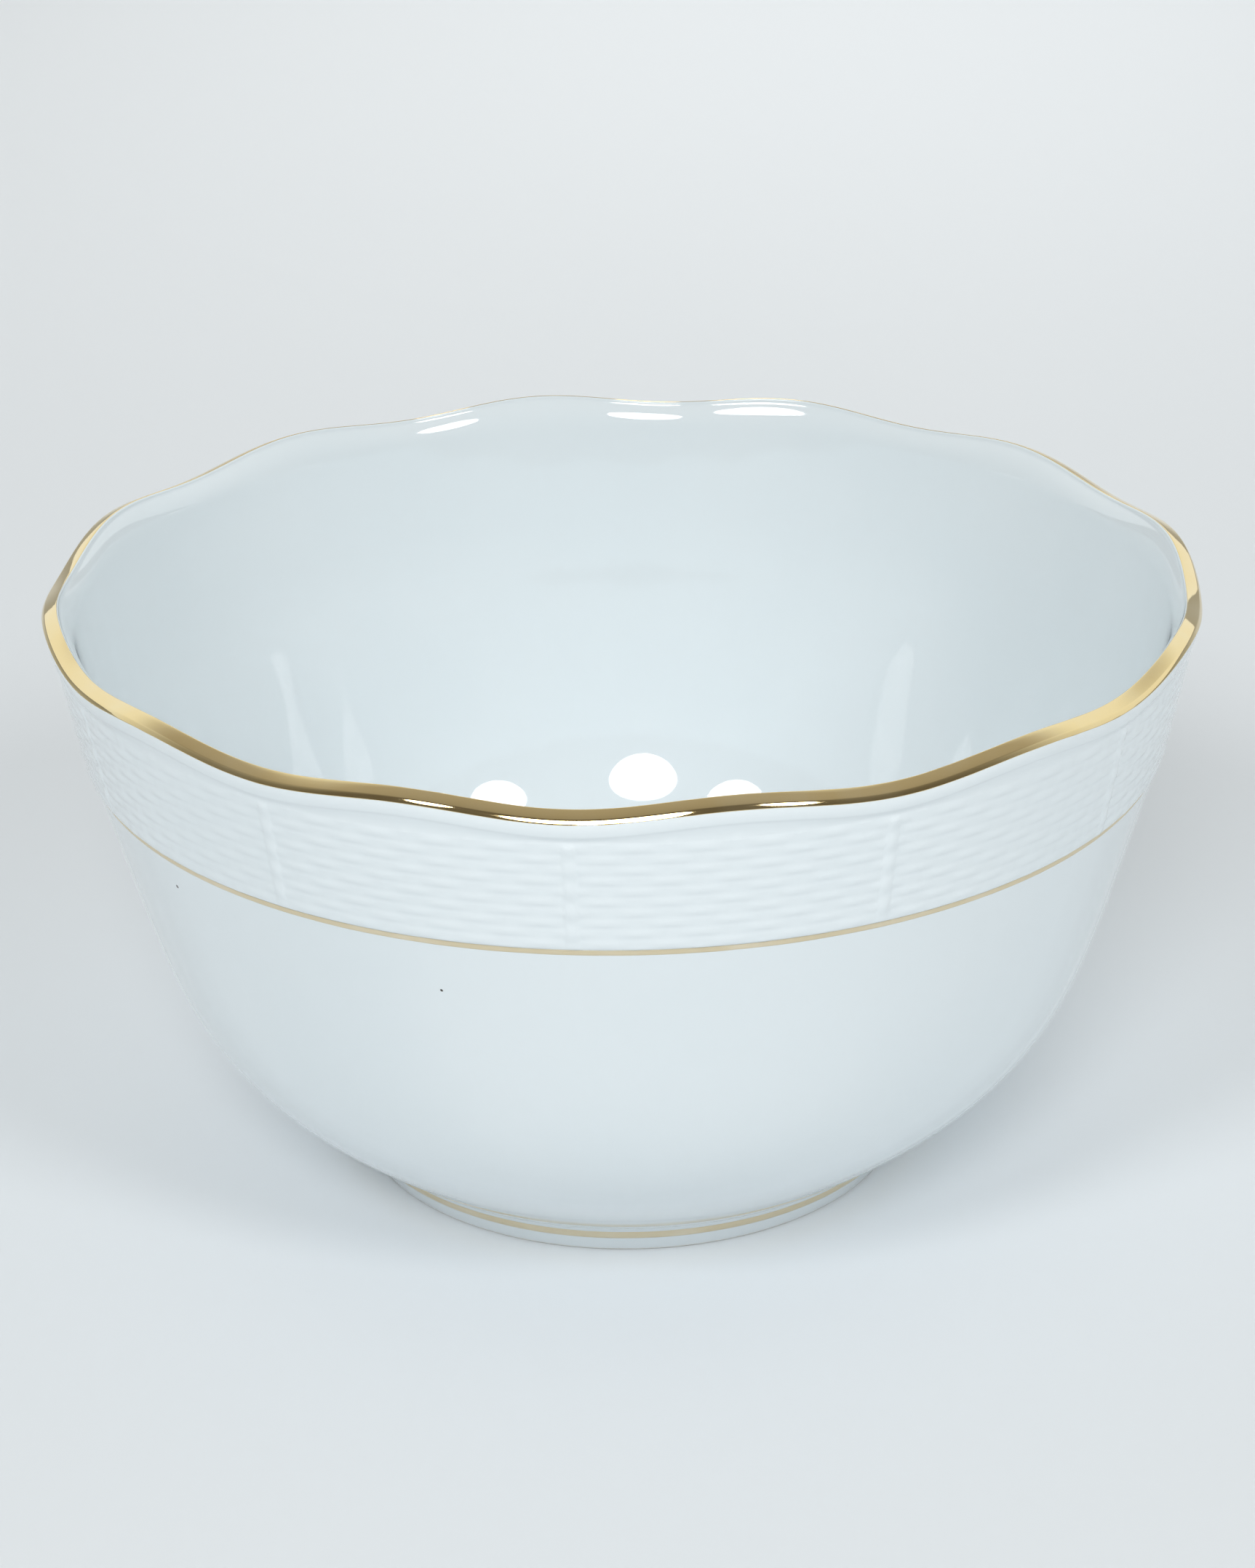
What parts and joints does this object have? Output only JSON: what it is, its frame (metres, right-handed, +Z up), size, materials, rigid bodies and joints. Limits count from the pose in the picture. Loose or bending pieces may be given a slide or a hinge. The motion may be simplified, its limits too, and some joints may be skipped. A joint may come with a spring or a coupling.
{
  "type": "porcelain serving bowl",
  "caption": "Round porcelain serving bowl with a scalloped gilded lip, a moulded basket-weave border with upright ribs, gilded lines and a foot ring.",
  "frame": {"origin": "on the bowl's axis, on the plane that the foot ring rests on", "axes": "+Z up along the bowl's axis; one rib of the border stands at -Y, and the others follow at equal steps"},
  "size_m": [0.2394, 0.2395, 0.129],
  "materials": {
    "porcelain": "clear gloss glaze over bluish-white porcelain",
    "gilding_burnished": "bright burnished gold",
    "gilding_matt": "thin pale gold line, softly glossy"
  },
  "bodies": {
    "root": {"bowl_body": "porcelain", "rim_gilding": "gilding_burnished", "border_gold_line": "gilding_matt", "foot_gold_line": "gilding_matt"}
  },
  "joints": []
}
